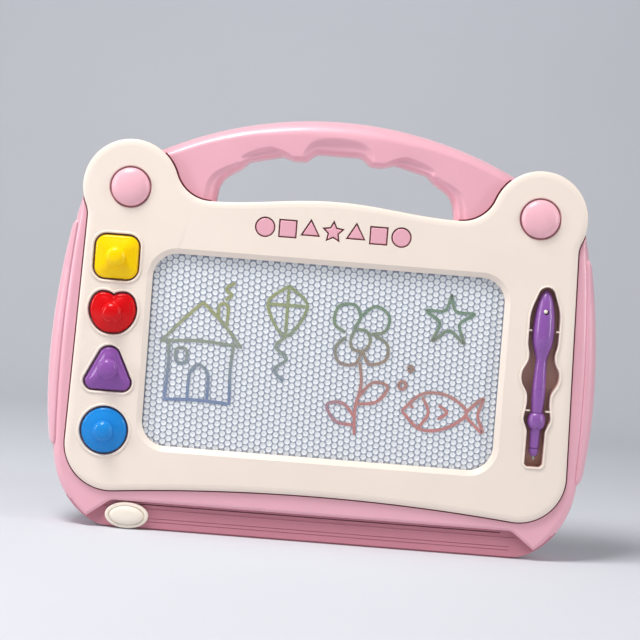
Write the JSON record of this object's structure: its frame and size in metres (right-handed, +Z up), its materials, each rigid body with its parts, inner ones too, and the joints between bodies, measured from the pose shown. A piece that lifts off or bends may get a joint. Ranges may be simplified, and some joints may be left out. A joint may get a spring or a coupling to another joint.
{
  "type": "magnetic drawing board",
  "caption": "Child's magnetic drawing board with a carrying handle, sliding eraser, shaped stamps and a pen.",
  "frame": {"origin": "centre of the bounding box in X and Y, on the plane of the flat lower edge that the board stands on", "axes": "+X to the right across the board, +Y backwards through its thickness (the drawing side faces -Y), +Z up"},
  "size_m": [0.3892, 0.05, 0.2997],
  "materials": {
    "cream_plastic": "satin moulded plastic",
    "pink_plastic": "satin moulded plastic",
    "clear_sheet": "smooth clear film over a pale panel",
    "honeycomb": "thin cell walls in a white filling",
    "back_sheet": "plain film",
    "white_plastic": "moulded plastic",
    "yellow_plastic": "glossy moulded plastic",
    "red_plastic": "glossy moulded plastic",
    "purple_plastic": "glossy moulded plastic",
    "blue_plastic": "glossy moulded plastic",
    "pen_plastic": "glossy moulded plastic",
    "magnet": "plain bonded magnet",
    "steel": "plated steel"
  },
  "bodies": {
    "board": {"front_bezel": "cream_plastic", "body_frame": "pink_plastic", "back_cover": "pink_plastic", "ear_cap_left": "pink_plastic", "ear_cap_right": "pink_plastic", "screen_front_sheet": "clear_sheet", "screen_honeycomb": "honeycomb", "screen_back_sheet": "back_sheet", "screw_ear_left": "steel", "screw_top_left": "steel", "screw_foot_left": "steel", "screw_handle_left": "steel", "screw_ear_right": "steel", "screw_top_right": "steel", "screw_foot_right": "steel", "screw_handle_right": "steel"},
    "eraser": {"slider_knob": "cream_plastic", "eraser_carriage": "white_plastic", "eraser_magnet": "magnet"},
    "square_stamp": {"stamp_square": "yellow_plastic", "stamp_square_magnet": "magnet"},
    "heart_stamp": {"stamp_heart": "red_plastic", "stamp_heart_magnet": "magnet"},
    "triangle_stamp": {"stamp_triangle": "purple_plastic", "stamp_triangle_magnet": "magnet"},
    "circle_stamp": {"stamp_circle": "blue_plastic", "stamp_circle_magnet": "magnet"},
    "pen": {"pen_barrel": "pen_plastic", "pen_nose": "pen_plastic", "pen_nib": "steel"}
  },
  "joints": [
    {"name": "eraser_slide", "type": "slide", "parent": "board", "child": "eraser", "axis": [1, 0, 0], "range_m": [0, 0.261]},
    {"name": "stamp_square_lift", "type": "slide", "parent": "board", "child": "square_stamp", "axis": [0, -1, 0], "range_m": [0, 0.03]},
    {"name": "stamp_heart_lift", "type": "slide", "parent": "board", "child": "heart_stamp", "axis": [0, -1, 0], "range_m": [0, 0.03]},
    {"name": "stamp_triangle_lift", "type": "slide", "parent": "board", "child": "triangle_stamp", "axis": [0, -1, 0], "range_m": [0, 0.03]},
    {"name": "stamp_circle_lift", "type": "slide", "parent": "board", "child": "circle_stamp", "axis": [0, -1, 0], "range_m": [0, 0.03]},
    {"name": "pen_lift", "type": "slide", "parent": "board", "child": "pen", "axis": [0, -1, 0], "range_m": [0, 0.03]}
  ]
}
